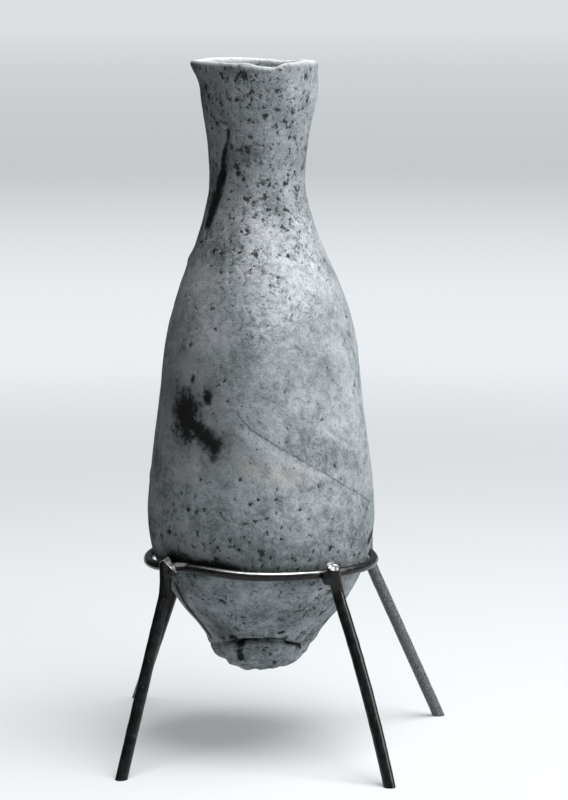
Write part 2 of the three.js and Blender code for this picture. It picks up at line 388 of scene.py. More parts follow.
IRON_BLACK = grey(0.005, (0.95, 1.0, 1.05))
IRON_GREY = grey(0.016, (0.97, 1.0, 1.02))
# A lighter grey for the back right leg: partly dust, partly painted light for the side light that it catches
IRON_DUST_AND_SHEEN = grey(0.22, (0.97, 1.0, 1.02))
# Bright metal: bare at the cuts and the braze, and the ring's painted highlight
IRON_BARE_AND_HIGHLIGHT = grey(0.85)
RUST = (0.024, 0.02, 0.018, 1)
WORN_PATCHES, WORN_EDGE = dict(scale=0.22, detail=6.0, roughness=0.65), (0.42, 0.68)
RUST_SPECKS = dict(Cell=3.4, Radius=0.8, Share=0.22, Fray=4.5)
IRON_GRAIN, GRAIN_RANGE = dict(scale=2.6, detail=4.0, roughness=0.6), (0.3, 0.7)
DUST_AND_SHEEN_EDGE = (0.4, 0.62)
BLACK_ROUGHNESS, RUST_ROUGHNESS, BARE_ROUGHNESS = (0.14, 0.3), 0.6, 0.5
RUST_PROUD = 1.5
IRON_RELIEF = 0.03
IRON_SPECULAR = 0.24

iron, tree = new_material("blackened_iron")
point = in_mm(tree)
worn = ranged(tree, noisy(tree, point, **WORN_PATCHES), *WORN_EDGE)
rust = use(tree, specks, Point=point, **RUST_SPECKS)
grain = noisy(tree, point, **IRON_GRAIN)
# Bright metal: bare at the cuts and the braze, and the painted highlight along the ring's front
bare_and_highlight = painted(tree, "bare_and_highlight")
# The back right leg's lighter grey: partly dust, partly painted light
dust_and_sheen = reckon(tree, "MULTIPLY", painted(tree, "dust_and_sheen"), ranged(tree, grain, *DUST_AND_SHEEN_EDGE))
colour = laid_over(tree, worn, IRON_BLACK, IRON_GREY)
for mask, over in ((rust, RUST), (dust_and_sheen, IRON_DUST_AND_SHEEN), (bare_and_highlight, IRON_BARE_AND_HIGHLIGHT)):
    colour = laid_over(tree, mask, colour, over)
dull = ranged(tree, grain, *GRAIN_RANGE, *BLACK_ROUGHNESS)
dull = ranged(tree, rust, 0, 1, dull, RUST_ROUGHNESS)
dull = ranged(tree, bare_and_highlight, 0, 1, dull, BARE_ROUGHNESS)
height = plus(tree, grain, (rust, RUST_PROUD))
skin = put(tree, "Bump", {"Height": height, "Distance": IRON_RELIEF * MM, "Strength": 1.0}).outputs["Normal"]
surface(tree, "BsdfPrincipled", {
    "Base Color": colour, "Roughness": dull, "Metallic": bare_and_highlight,
    "Specular IOR Level": IRON_SPECULAR, "Normal": skin,
})

ring.data.materials.append(iron)
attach(ring, "root")
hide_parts("stand_ring")


# The legs
# Four straight iron rods, each bent once just below the ring, cut flat at the floor and snipped at a slant
# above the ring. A lump of braze joins each to the ring's outside, and the fresh cuts are bare metal.
LEG_ROD = 6.0
LEG_GAP = 0.3
LEG_RADIUS = RING_RADIUS + RING_ROD / 2 + LEG_ROD / 2 + LEG_GAP
LEG_BEND_LENGTH = 7
LEG_SPARE = 8
LEG_WOBBLE_LENGTH = 5
VOXEL = 0.34
MELT, MELT_STEPS = 0.5, 4
BEAD_SIZE = Vector((5.2, 3.4, 4.0))
BEAD_RADIUS = RING_RADIUS + 3.9
BEAD_DROP = 1.2
BEAD_LUMPS, BEAD_LUMPINESS = 0.16, 1.7
# The cuts: how thick a skin is bare, how squarely it faces the cut, and how its shine varies
CUT_SKIN, CUT_FACING = 0.35, 0.8
CUT_SHINE, CUT_MOTTLE, CUT_MOTTLE_LENGTH, CUT_DULLEST = 0.42, 1.1, 1.3, 0.12

LEGS = [
    dict(name="leg_front_left", tip_azimuth=-48.8, tip=101.2, azimuth=-48.3, bend=85.5,
         foot_azimuth=-42, reach=100.3, faces=-100, tilt=32, bow=0.3, ground=(55, 50, 0.8)),
    dict(name="leg_front_right", tip_azimuth=34.2, tip=99.6, azimuth=37, bend=85.5,
         foot_azimuth=34.9, reach=106.3, faces=20, tilt=30, bow=2.6),
    dict(name="leg_back_right", tip_azimuth=119.3, tip=96.6, azimuth=119.3, bend=88.2,
         foot_azimuth=117.6, reach=104.3, faces=292, tilt=38, bow=0, dust_and_sheen=1.0),
    dict(name="leg_back_left", tip_azimuth=219, tip=97, azimuth=219, bend=85.5,
         foot_azimuth=217.4, reach=108, faces=219, tilt=12, bow=0),
]


def apply_modifier(piece, kind, **options):
    """Adds a modifier with these options and applies it."""
    pick_only(piece)
    modifier = piece.modifiers.new(kind.lower(), kind)
    for name, value in options.items():
        setattr(modifier, name, value)
    bpy.ops.object.modifier_apply(modifier=modifier.name)


def push_out(piece, moves):
    """Moves each vertex of a mesh out along its normal, by its own distance."""
    places = [vertex.co + vertex.normal * move for vertex, move in zip(piece.data.vertices, moves)]
    piece.data.vertices.foreach_set("co", [value for place in places for value in place])
    piece.data.update()


def cut_off(piece, place, normal):
    """Cuts away what is beyond a plane, and closes the cut."""
    pick_only(piece)
    bpy.ops.object.mode_set(mode="EDIT")
    bpy.ops.mesh.select_all(action="SELECT")
    bpy.ops.mesh.bisect(plane_co=place, plane_no=normal, clear_outer=True, use_fill=True)
    bpy.ops.object.mode_set(mode="OBJECT")


def cut_normal(faces, tilt):
    """The way that a slanted cut faces: its azimuth, and its tilt from the level."""
    slant = Euler((math.radians(tilt), 0, math.radians(faces)))
    return slant.to_matrix() @ Vector((0, 0, 1))


def bent_rod(leg):
    """A rod along a leg's line: upright at the ring, one soft bend, then out to the foot and past it."""
    corner = around(LEG_RADIUS, leg["azimuth"], leg["bend"])
    tip = around(LEG_RADIUS, leg["tip_azimuth"], leg["tip"])
    top = tip + (tip - corner).normalized() * LEG_SPARE
    foot = around(leg["reach"], leg["foot_azimuth"], 0)
    past = foot + (foot - corner).normalized() * LEG_SPARE
    aim = corner.lerp(past, 0.5) + around(2 * leg["bow"], leg["foot_azimuth"], 0)
    bend_start = corner + (top - corner).normalized() * LEG_BEND_LENGTH
    bend_end = corner + (aim - corner).normalized() * LEG_BEND_LENGTH

    bpy.ops.curve.primitive_bezier_curve_add()
    rod = bpy.context.object
    rod.name = leg["name"] + "_rod"
    spline = rod.data.splines[0]
    spline.bezier_points.add(2)
    stations = [
        (top, top, top.lerp(bend_start, 1 / 3)),
        (bend_start, bend_start.lerp(top, 1 / 3), bend_start.lerp(corner, 2 / 3)),
        (bend_end, bend_end.lerp(corner, 2 / 3), bend_end.lerp(aim, 2 / 3)),
        (past, past.lerp(aim, 2 / 3), past),
    ]
    for station, (place, before, after) in zip(spline.bezier_points, stations):
        station.handle_left_type = station.handle_right_type = "FREE"
        station.co, station.handle_left, station.handle_right = place, before, after
    rod.location = (0, 0, 0)
    rod.data.dimensions = "3D"
    rod.data.bevel_depth = LEG_ROD / 2
    rod.data.bevel_resolution = 6
    rod.data.resolution_u = 24
    rod.data.use_fill_caps = True
    bpy.ops.object.convert(target="MESH")
    bpy.ops.object.mode_set(mode="EDIT")
    bpy.ops.mesh.select_all(action="SELECT")
    bpy.ops.mesh.remove_doubles(threshold=0.001)
    bpy.ops.mesh.normals_make_consistent(inside=False)
    bpy.ops.object.mode_set(mode="OBJECT")
    cut_off(rod, tip, cut_normal(leg["faces"], leg["tilt"]))
    return rod


def braze_lump(leg):
    """The lump of braze between a leg and the ring: a melted ball with runs to both sides."""
    height = ring_height(leg["tip_azimuth"]) - BEAD_DROP
    bpy.ops.mesh.primitive_ico_sphere_add(subdivisions=4, radius=1)
    lump = bpy.context.object
    lump.name = leg["name"] + "_braze"
    seat = Euler((0, 0, math.radians(leg["tip_azimuth"]))).to_matrix()
    centre = around(BEAD_RADIUS, leg["tip_azimuth"], height)
    for vertex in lump.data.vertices:
        lumpy = 1 + BEAD_LUMPS * noise.noise(vertex.co * BEAD_LUMPINESS + centre)
        size = BEAD_SIZE * lumpy
        vertex.co = centre + seat @ Vector((vertex.co.x * size.x, vertex.co.y * size.y, vertex.co.z * size.z))
    return lump


for leg in LEGS:
    rod = bent_rod(leg)
    lump = braze_lump(leg)
    pick_only(rod)
    lump.select_set(True)
    bpy.ops.object.join()
    tip = around(LEG_RADIUS, leg["tip_azimuth"], leg["tip"])
    fresh_cuts = [(tip, cut_normal(leg["faces"], leg["tilt"]))]
    if "ground" in leg:
        faces, tilt, up = leg["ground"]
        fresh_cuts.append((tip + Vector((0, 0, up)), cut_normal(faces, tilt)))
        cut_off(rod, *fresh_cuts[1])
    apply_modifier(rod, "REMESH", mode="VOXEL", voxel_size=VOXEL)
    apply_modifier(rod, "SMOOTH", factor=MELT, iterations=MELT_STEPS)
    push_out(rod, [ROD_WOBBLE * noise.noise(vertex.co / LEG_WOBBLE_LENGTH) for vertex in rod.data.vertices])
    cut_off(rod, (0, 0, 0), (0, 0, -1))

    # The lighter grey of the back right leg: partly dust, partly painted light for the side light on it
    dust_and_sheen = rod.data.attributes.new("dust_and_sheen", "FLOAT", "POINT")
    dust_and_sheen.data.foreach_set("value", [leg.get("dust_and_sheen", 0.0)] * len(rod.data.vertices))
    bare_and_highlight_layer = rod.data.attributes.new("bare_and_highlight", "FLOAT", "POINT")
    for vertex, value in zip(rod.data.vertices, bare_and_highlight_layer.data):
        for place, normal in fresh_cuts:
            beyond = (vertex.co - place).dot(normal)
            if beyond > -CUT_SKIN and vertex.normal.dot(normal) > CUT_FACING:
                shine = CUT_SHINE + CUT_MOTTLE * noise.noise(vertex.co / CUT_MOTTLE_LENGTH)
                value.value = min(max(shine, CUT_DULLEST), 1)
    into_place(rod)
    smooth_edges(rod, 50)
    rod.data.materials.clear()
    rod.data.materials.append(iron)
    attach(rod, "root")
    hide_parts(leg["name"])


# The bottle
# Thrown and scraped grey pottery with a long flaring neck. Its foot is torn off into a lumpy end under a
# ledge of clay, a crease was pressed slantwise into the neck, and its skin is pitted, stained and scratched.
RIM_HEIGHT = 341.3
BASE_HEIGHT = 37.6
WALL_BODY, WALL_NECK = 6.6, 4.8
WALL_THINS_FROM, WALL_THINS_TO = 190, 270
LIP_THICKNESS = 4.4
INNER_FLOOR_HEIGHT = 54

# Half the outline, as radius and height: the torn end, the outside of the wall, and the floor inside
TORN_END = [(0, BASE_HEIGHT), (9, 38.3), (16.8, 40.9), (22, 44.6), (24.2, 50.2)]
WALL = [
    (24.8, 51), (32.6, 61.5), (39.6, 69.9), (45, 78.4), (48.4, 84.6), (53.4, 96.4), (55.8, 107.5),
    (56.5, 118), (54.7, 141), (50.2, 176), (46.9, 205), (40, 229.5), (31.3, 251), (25.4, 269.5),
    (23.5, 282), (24.9, 302), (28.2, 322), (29, RIM_HEIGHT - LIP_THICKNESS / 2),
]
INNER_FLOOR = [(0, INNER_FLOOR_HEIGHT), (12, INNER_FLOOR_HEIGHT + 1.4), (21.5, INNER_FLOOR_HEIGHT + 6)]

# Vertices around, gathered a little towards the front, and along each part of the outline
SPIN_STEPS = 260
FRONT_GATHER = 0.4
OUTER_STEPS = 262
TORN_STEPS = 36
INNER_STEPS = 34
LIP_STEPS = 10
CURVE_STEPS = 40
INSIDE_FROM, INSIDE_TO, INSIDE_STATIONS = 0.055, 0.985, 12


def through(stations, steps):
    """A smooth line through the stations, in that many even steps: a centripetal Catmull-Rom curve."""
    points = [Vector(station) for station in stations]
    points = [2 * points[0] - points[1]] + points + [2 * points[-1] - points[-2]]
    dense = []
    for a, b, c, d in zip(points, points[1:], points[2:], points[3:]):
        knots = [0.0]
        for start, end in ((a, b), (b, c), (c, d)):
            knots.append(knots[-1] + math.sqrt((end - start).length))
        k1, k2, k3 = knots[1:]
        for i in range(CURVE_STEPS):
            t = k1 + (k2 - k1) * i / CURVE_STEPS
            ab = a.lerp(b, t / k1)
            bc = b.lerp(c, (t - k1) / (k2 - k1))
            cd = c.lerp(d, (t - k2) / (k3 - k2))
            dense.append(ab.lerp(bc, t / k2).lerp(bc.lerp(cd, (t - k1) / (k3 - k1)), (t - k1) / (k2 - k1)))
    dense.append(points[-2])
    run = [0.0]
    for start, end in zip(dense, dense[1:]):
        run.append(run[-1] + (end - start).length)
    line, i = [], 0
    for step in range(steps + 1):
        goal = run[-1] * step / steps
        while i < len(run) - 2 and run[i + 1] < goal:
            i += 1
        line.append(dense[i].lerp(dense[i + 1], (goal - run[i]) / (run[i + 1] - run[i])))
    return line


def wall_at(height):
    """The wall's thickness at a height."""
    return WALL_BODY + (WALL_NECK - WALL_BODY) * smoothstep(height, WALL_THINS_FROM, WALL_THINS_TO)


outside_line = through(WALL, OUTER_STEPS)
outline = through(TORN_END, TORN_STEPS) + outside_line
lip_centre = outline[-1] - Vector((LIP_THICKNESS / 2, 0))
for i in range(1, LIP_STEPS + 1):
    angle = math.pi * i / LIP_STEPS
    outline.append(lip_centre + Vector((math.cos(angle), math.sin(angle))) * LIP_THICKNESS / 2)
LIP_TOP = len(outline) - LIP_STEPS // 2

inside_stations = list(INNER_FLOOR)
for i in range(INSIDE_STATIONS):
    share = INSIDE_FROM + (INSIDE_TO - INSIDE_FROM) * i / (INSIDE_STATIONS - 1)
    k = min(max(round(share * OUTER_STEPS), 1), OUTER_STEPS - 1)
    along = (outside_line[k + 1] - outside_line[k - 1]).normalized()
    here = outside_line[k]
    inside_stations.append(tuple(here + wall_at(here.y) * Vector((-along.y, along.x))))
outline += reversed(through(inside_stations, INNER_STEPS))

# The outline is a ring of vertices, opened on the axis and spun into a vessel
bpy.ops.mesh.primitive_circle_add(vertices=len(outline), radius=1)
bottle = bpy.context.object
bottle.name = "pottery_bottle"
step_of = bottle.data.attributes.new("station", "FLOAT", "POINT")
for i, (vertex, station) in enumerate(zip(bottle.data.vertices, outline)):
    vertex.co = (0, -max(station.x, 0), station.y)
    step_of.data[i].value = i
last = len(outline) - 1
bpy.ops.object.mode_set(mode="EDIT")
bpy.ops.mesh.select_mode(type="EDGE")
bpy.ops.mesh.select_all(action="DESELECT")
bpy.ops.object.mode_set(mode="OBJECT")
for edge in bottle.data.edges:
    edge.select = set(edge.vertices) == {0, last}
bpy.ops.object.mode_set(mode="EDIT")
bpy.ops.mesh.delete(type="EDGE_FACE")
bpy.ops.mesh.select_all(action="SELECT")
bpy.ops.mesh.spin(steps=SPIN_STEPS, angle=2 * math.pi, center=(0, 0, 0), axis=(0, 0, 1))
bpy.ops.mesh.select_all(action="SELECT")
bpy.ops.mesh.remove_doubles(threshold=0.001)
bpy.ops.mesh.normals_make_consistent(inside=False)
bpy.ops.mesh.select_mode(type="VERT")
bpy.ops.object.mode_set(mode="OBJECT")

# What the potter's hand, the break and wear made of that true form
NEAR_AXIS = 8
NECK_LEAN, LEAN_FROM, LEAN_TO, LEAN_TOP, LEAN_STRAIGHTENS = -1.9, 215, 275, 325, 0.35
CONE_SHIFT, CONE_SHIFT_FROM, CONE_SHIFT_TO = 0.5, 95, 70
BASE_SHIFT, BASE_SHIFT_FROM, BASE_SHIFT_TO = -0.9, 56, 42
FLARE_AZIMUTH, FLARE_SPREAD, FLARE_OUT, FLARE_FROM, FLARE_SHARPNESS = -90, 38, 4.6, 324, 1.6
DIP_AZIMUTH, DIP_SPREAD, DIP_DOWN, DIP_FROM = 6, 26, 1.3, 326
CREASE_TOP, CREASE_BOTTOM, CREASE_AZIMUTHS, CREASE_FADE = 314, 250, (-32, -68), 0.7
CREASE_DEPTH, CREASE_HALF_WIDTH = 2.3, 1.5
FACET_DEPTH, FACET_MIDDLE, FACET_HALF_WIDTH = 0.9, -6, 4.5
LEDGE_AZIMUTH, LEDGE_SPREAD, LEDGE_LIFT, LEDGE_SLOPE, LEDGE_DEPTH = -4, 38, 8.6, 0.74, 1.7
LEDGE_FROM, LEDGE_TO, LEDGE_FADES = 49, 52, 72
CREVICE_DEPTH, CREVICE_HEIGHT, CREVICE_HALF_WIDTH = 4.0, 49.9, 1.0
OVERHANG_OUT, OVERHANG_DOWN, OVERHANG_HALF_WIDTH = 0.5, 0.1, 1.4
SWELL_AZIMUTH, SWELL_SPREAD, SWELL_OUT, SWELL_MIDDLE, SWELL_HEIGHT = 165, 45, 1.5, 95, 20

# Wear along the lip's top: [azimuth, spread, rise]
LIP_WEAR = [
    (-14, 7, 0.5), (8, 9, -0.9), (18, 4, -0.8), (45, 14, 0.35),
    (100, 16, -0.5), (150, 18, -0.9), (-140, 12, 0.5),
]
LIP_CHIPS, LIP_CHIP_LENGTH = 0.5, 4
# Knobs and dents in the wall: [azimuth, height, width, out]
KNOBS = [
    (82, 324.5, 3.2, 0.75), (86, 331, 2.2, 0.45), (-88, 243.5, 2.8, 0.75), (-89, 136, 2.0, 0.35),
    (-84, 47.5, 2.6, 1.2), (-80, 52, 2.5, 0.7), (-72, 42.5, 2.6, -2.0), (-45, 41, 3.0, 0.9),
    (80, 50.5, 3.0, 0.9), (-22, 48.4, 1.8, -2.4), (-17, 50.5, 1.5, -1.6), (-36, 52, 3.0, 0.9),
    (10, 46, 5.0, 0.9), (34, 44, 3.6, 1.0), (52, 42, 4.0, -1.0), (-2, 41, 3.5, -0.7),
    (60, 78, 9, -0.5), (-15, 205, 16, -0.35), (25, 236, 14, 0.4),
]


def hand_made(point, station):
    """Moves a point of the true spun form, in mm, to where it is on the real bottle."""
    radius, height = math.hypot(point.x, point.y), point.z
    azimuth = azimuth_of(point)
    azimuth -= math.degrees(FRONT_GATHER * math.sin(math.radians(azimuth)))
    off_axis = min(radius / NEAR_AXIS, 1)
    z = height

    if z > FLARE_FROM:
        flare = FLARE_OUT * smoothstep(z, FLARE_FROM, RIM_HEIGHT) ** FLARE_SHARPNESS
        radius += flare * bump(turn(FLARE_AZIMUTH, azimuth), FLARE_SPREAD)
        near_rim = smoothstep(z, DIP_FROM, RIM_HEIGHT)
        height -= DIP_DOWN * near_rim * bump(turn(DIP_AZIMUTH, azimuth), DIP_SPREAD)
        for place, spread, rise in LIP_WEAR:
            height += rise * near_rim ** 2 * bump(turn(place, azimuth), spread)
        height += LIP_CHIPS * near_rim ** 2 * (noise.noise(around(LIP_CHIP_LENGTH, azimuth, 0)) - 0.5)

    if station < LIP_TOP:
        share = (CREASE_TOP - z) / (CREASE_TOP - CREASE_BOTTOM)
        if 0 < share < 1:
            centre = CREASE_AZIMUTHS[0] + share * (CREASE_AZIMUTHS[1] - CREASE_AZIMUTHS[0])
            across = math.radians(turn(centre, azimuth)) * radius
            pressed = math.sin(math.pi * share) ** CREASE_FADE
            radius -= pressed * CREASE_DEPTH * bump(across, CREASE_HALF_WIDTH)
            radius -= pressed * FACET_DEPTH * bump(across - FACET_MIDDLE, FACET_HALF_WIDTH)
        slide = bump(turn(LEDGE_AZIMUTH, azimuth), LEDGE_SPREAD)
        near_ledge = min(smoothstep(z, BASE_HEIGHT, LEDGE_FROM), 1 - smoothstep(z, LEDGE_TO, LEDGE_FADES))
        height += LEDGE_LIFT * slide * near_ledge
        radius += off_axis * LEDGE_LIFT * slide * near_ledge * LEDGE_SLOPE
        if station < TORN_STEPS + 1:
            radius -= off_axis * LEDGE_DEPTH * smoothstep(z, BASE_HEIGHT, LEDGE_FROM) * slide
            radius -= CREVICE_DEPTH * slide * bump(z - CREVICE_HEIGHT, CREVICE_HALF_WIDTH)
        else:
            radius += OVERHANG_OUT * slide * bump(z - LEDGE_TO, OVERHANG_HALF_WIDTH)
            height -= OVERHANG_DOWN * slide * bump(z - LEDGE_FROM, 2 * OVERHANG_HALF_WIDTH)
        swell = SWELL_OUT * bump(z - SWELL_MIDDLE, SWELL_HEIGHT)
        radius += off_axis * swell * bump(turn(SWELL_AZIMUTH, azimuth), SWELL_SPREAD)

    lean = NECK_LEAN * smoothstep(z, LEAN_FROM, LEAN_TO)
    lean *= 1 - LEAN_STRAIGHTENS * smoothstep(z, LEAN_TO, LEAN_TOP)
    lean += CONE_SHIFT * (1 - smoothstep(z, CONE_SHIFT_TO, CONE_SHIFT_FROM))
    lean += BASE_SHIFT * (1 - smoothstep(z, BASE_SHIFT_TO, BASE_SHIFT_FROM))
    placed = around(radius, azimuth, height)
    placed.x += lean
    return placed


stations = [value.value for value in bottle.data.attributes["station"].data]
for vertex, station in zip(bottle.data.vertices, stations):
    vertex.co = hand_made(vertex.co, station)
bottle.data.update()

# The uneven wall: how far it moves, and over what length across and up. Near the ring the relief stays
# shallow, so that the bottle doesn't touch the rod.
UNEVEN, UNEVEN_ACROSS, UNEVEN_UP = 0.32, 17, 30
RIPPLE, RIPPLE_ACROSS, RIPPLE_UP = 0.16, 5, 8
INSIDE_SHARE = 0.6
TORN_FROM, TORN_TO = 50, 60
TORN_LUMPS, TORN_LUMP_LENGTH = 1.1, 6
TORN_GRAIN, TORN_GRAIN_LENGTH = 0.4, 2.2
SEAT_HEIGHT, SEAT_SPREAD, SEAT_CALM = 95, 5, 0.85


def relief(point, outer):
    """How far the wear and the unevenness move a point of the wall out, in mm."""
    x, y, z = point
    move = UNEVEN * noise.noise(Vector((x / UNEVEN_ACROSS, y / UNEVEN_ACROSS, z / UNEVEN_UP)))
    ripple_at = Vector((x / RIPPLE_ACROSS, y / RIPPLE_ACROSS, z / RIPPLE_UP)) + Vector((7, 3, 1))
    move += RIPPLE * noise.noise(ripple_at)
    if not outer:
        return move * INSIDE_SHARE
    torn = 1 - smoothstep(z, TORN_FROM, TORN_TO)
    move += torn * TORN_LUMPS * noise.noise(point / TORN_LUMP_LENGTH + Vector((2, 8, 5)))
    move += torn * TORN_GRAIN * noise.noise(point / TORN_GRAIN_LENGTH)
    for place, height, width, out in KNOBS:
        if abs(z - height) < 4 * width:
            across = math.radians(turn(place, azimuth_of(point))) * math.hypot(x, y)
            move += out * bump(math.hypot(across, z - height), width)
    return move * (1 - SEAT_CALM * bump(z - SEAT_HEIGHT, SEAT_SPREAD))


push_out(bottle, [relief(v.co, station <= LIP_TOP) for v, station in zip(bottle.data.vertices, stations)])

# Pits where grit fell out: many small ones by chance, and the plain ones of the photograph by place
PITS = 1500
PIT_SEED = 11
PIT_DEPTH = 0.55
PIT_CROWD, PIT_CROWD_NECK, PIT_CROWD_CONE = 0.35, 0.65, 0.25
PIT_NECK_FROM, PIT_NECK_TO, PIT_CONE_FROM, PIT_CONE_TO = 215, 250, 115, 90
PIT_SIZE, PIT_SIZE_MORE, PIT_SIZE_RARITY = 0.5, 0.6, 2.5
PIT_STRENGTHS = (0.45, 0.95)
PIT_REACH, PIT_LONG_WAY, PIT_LONG, PIT_BOWL, PIT_BOWL_SHARPNESS = 2.6, 0.45, 1.3, 0.75, 2.4
START_RADIUS = 60
NAMED_PIT_SIZE = 0.92
# The plain pits: [azimuth, height, size]
NAMED_PITS = [
    (-64.5, 328.5, 1.9), (-61, 324, 1.3), (-23.7, 333.5, 1.3), (-23.8, 323, 1.4), (-9.7, 323.5, 1.0),
    (-12.4, 312.9, 1.3), (-11.9, 305, 1.3), (-39, 311, 1.1), (-52.6, 310.9, 1.5), (-27, 287, 1.7),
    (-21.2, 284.2, 1.2), (8.4, 284.3, 1.3), (32.5, 282, 1.9), (18.5, 282.2, 1.0), (35.1, 304.3, 1.5),
    (43, 303.7, 1.5), (56.5, 303.4, 1.2), (-13.8, 260.5, 1.3), (24, 248, 1.4), (-65, 290.6, 1.2),
    (15.8, 327.3, 1.2), (53, 333.5, 1.8), (60.5, 336.8, 1.5), (23, 338.7, 0.9), (-39, 126, 1.3),
    (-34, 125.5, 1.2), (-61, 109.8, 1.6), (-0.5, 107.2, 1.7), (-11, 108.5, 1.2), (-22.3, 108.8, 1.2),
    (-1.5, 133, 1.0), (7.5, 133, 1.0), (36.2, 85.5, 1.3), (45, 83.2, 1.6), (-53.2, 113.1, 1.7),
    (-10.7, 142.5, 1.1), (-29.5, 126.9, 1.2), (19.6, 127.7, 1.1), (41.7, 147, 1.2), (68.8, 183.4, 1.3),
    (-15.4, 113.2, 1.1), (10.3, 119.4, 1.0), (-5.4, 130.6, 1.3), (35.3, 169.8, 0.9), (-47.4, 205, 1.1),
    (-32.6, 141.1, 1.1), (-0.5, 103.6, 1.2), (25.7, 102.4, 1.1), (13.5, 184.4, 0.9), (-29.6, 213.2, 1.0),
]
chance = random.Random(PIT_SEED)
outer_vertices = [v for v, station in zip(bottle.data.vertices, stations) if station <= LIP_TOP]
wall_points = KDTree(len(outer_vertices))
for vertex in outer_vertices:
    wall_points.insert(vertex.co, vertex.index)
wall_points.balance()

pits = []
for azimuth, height, size in NAMED_PITS:
    pits.append((around(START_RADIUS, azimuth, height), NAMED_PIT_SIZE * size, 1.0))
while len(pits) < PITS:
    height = chance.uniform(BASE_HEIGHT, RIM_HEIGHT)
    crowd = PIT_CROWD + PIT_CROWD_NECK * smoothstep(height, PIT_NECK_FROM, PIT_NECK_TO)
    crowd += PIT_CROWD_CONE * (1 - smoothstep(height, PIT_CONE_TO, PIT_CONE_FROM))
    keep = chance.random() < crowd
    start = around(START_RADIUS, chance.uniform(-180, 180), height)
    size = PIT_SIZE + PIT_SIZE_MORE * chance.random() ** PIT_SIZE_RARITY
    strength = chance.uniform(*PIT_STRENGTHS)
    if keep:
        pits.append((start, size, strength))

depths = [0.0] * len(bottle.data.vertices)
for start, size, strength in pits:
    # The pit's centre is brought onto the wall, at its own azimuth and height
    centre = start
    sideways = Vector((start.x, start.y, 0)).normalized()
    for _ in range(3):
        nearest = wall_points.find(centre)[0]
        reach = math.hypot(nearest.x, nearest.y)
        centre = Vector((sideways.x * reach, sideways.y * reach, start.z))
    long_way = Vector((chance.uniform(-1, 1), chance.uniform(-1, 1), chance.uniform(-1, 1))).normalized()
    for place, index, _distance in wall_points.find_range(centre, PIT_REACH * size):
        offset = place - centre
        stretch = offset.dot(long_way) * PIT_LONG_WAY
        q = math.sqrt(max(offset.length_squared - stretch * stretch * PIT_LONG, 0)) / size
        depths[index] = max(depths[index], strength * math.exp(-q ** PIT_BOWL_SHARPNESS * PIT_BOWL))
push_out(bottle, [-PIT_DEPTH * depth for depth in depths])
bottle.data.attributes.new("pit", "FLOAT", "POINT").data.foreach_set("value", depths)

# Broad marks on the wall: half the width in mm, the strength, then each point's azimuth and height
TINTS = [(6, 1.0, (-8, 148), (-4, 147)), (9, 1.0, (6, 145), (14, 143))]
STAIN = [
    (19, 1.0, (-46.5, 174), (-44, 167)),
    (10, 1.0, (-42.2, 167), (-34.7, 164), (-26.1, 158)),
    (6, 0.8, (-26.1, 158), (-25.7, 151.8)),
    (5, 0.95, (-31.1, 182.6), (-31.5, 180)),
    (3, 0.85, (-42.4, 189.5), (-42.4, 188)),
    (34, 0.44, (-48, 178), (-40, 166), (-26, 157)),
]
# Dark bands just above the ring and along the cone's left side: partly dirt, partly painted shade
SHADE_AND_DIRT_BANDS = [
    (10, 1.0, (-52, 99), (-42, 98.5), (-33, 97.5)),
    (7.5, 1.05, (-33, 98.5), (-22, 98.5), (-14, 97)),
    (17, 0.4, (-56, 104), (-36, 104), (-8, 99)),
    (4.5, 0.9, (-60, 84), (-62.7, 76), (-61.5, 68.2), (-63, 60.7), (-65, 56)),
    (4.0, 0.9, (74, 105), (82, 108)),
    (9, 0.5, (-44, 72), (-38, 66), (-40, 58)),
]
# Painted shade in the neck's crease, widest at its foot, and a broad, weak painted shade to its left
CREASE_SHADE = [
    (2.2, 0.75, (-35.5, 308), (-37.5, 304), (-44, 298)),
    (2.5, 0.95, (-44, 298), (-47.5, 294), (-50, 287.1)),
    (3.5, 1.1, (-50, 287.1), (-55.5, 281.5), (-60, 275.5)),
    (5.0, 1.1, (-60, 275.5), (-64.1, 270), (-66.3, 262)),
    (15, 0.32, (-60, 283), (-70, 268), (-74, 258)),
]
# Painted shade in the crevice under the ledge of the torn foot, and in dents and holes around it
LEDGE_SHADE = [
    (4.6, 1.1, (-26.5, 58.4), (-22, 55.6)),
    (2.8, 1.15, (-20, 58), (-8, 58.6), (-3.5, 58.6)),
    (2.6, 1.15, (2.8, 58.7), (8, 58.9), (11.2, 58.7)),
    (2.2, 0.95, (11.2, 58.5), (20, 58), (31, 55.4)),
    (2.8, 1.0, (31, 55.4), (46, 52.8), (52, 51.6)),
    (3.4, 1.1, (-22.9, 46.5), (-25.5, 44)),
    (2.2, 1.0, (18.7, 43.3), (20, 43.3)),
    (2.0, 0.9, (15, 62.3), (18, 62.5)),
    (10, 0.45, (-34, 62), (-22, 57)),
]
DARK_NECK = [
    (24, 0.7, (-34, 334), (-20, 318), (-18, 305), (-32, 296)),
    (12, 0.6, (-60, 268), (-70, 256), (-82, 246)),
    (16, 0.6, (50, 304), (56, 296)),
]
PALE_SHOULDER = [
    (13, 0.9, (-3, 265), (8, 259), (14, 252)),
    (22, 1.0, (0, 248), (20, 245), (10, 233)),
    (17, 0.8, (26, 236), (20, 224), (4, 218)),
    (12, 0.7, (42, 262), (50, 240)),
]


def on_wall(azimuth, height):
    """The point of the bottle's wall at an azimuth and height, in mm."""
    true_azimuth = azimuth
    for _ in range(6):
        true_azimuth = azimuth + math.degrees(FRONT_GATHER * math.sin(math.radians(true_azimuth)))
    true_height = height
    for _ in range(5):
        index = 0
        while outline[index].y < true_height and index < LIP_TOP - 1:
            index += 1
        found = hand_made(around(outline[index].x, true_azimuth, true_height), index)
        true_height -= found.z - height
    return found


def runs(places):
    """The straight runs of a line over the wall. A single place is a run of no length."""
    ends = [on_wall(*place) for place in places]
    return zip(ends, ends[1:] or ends)


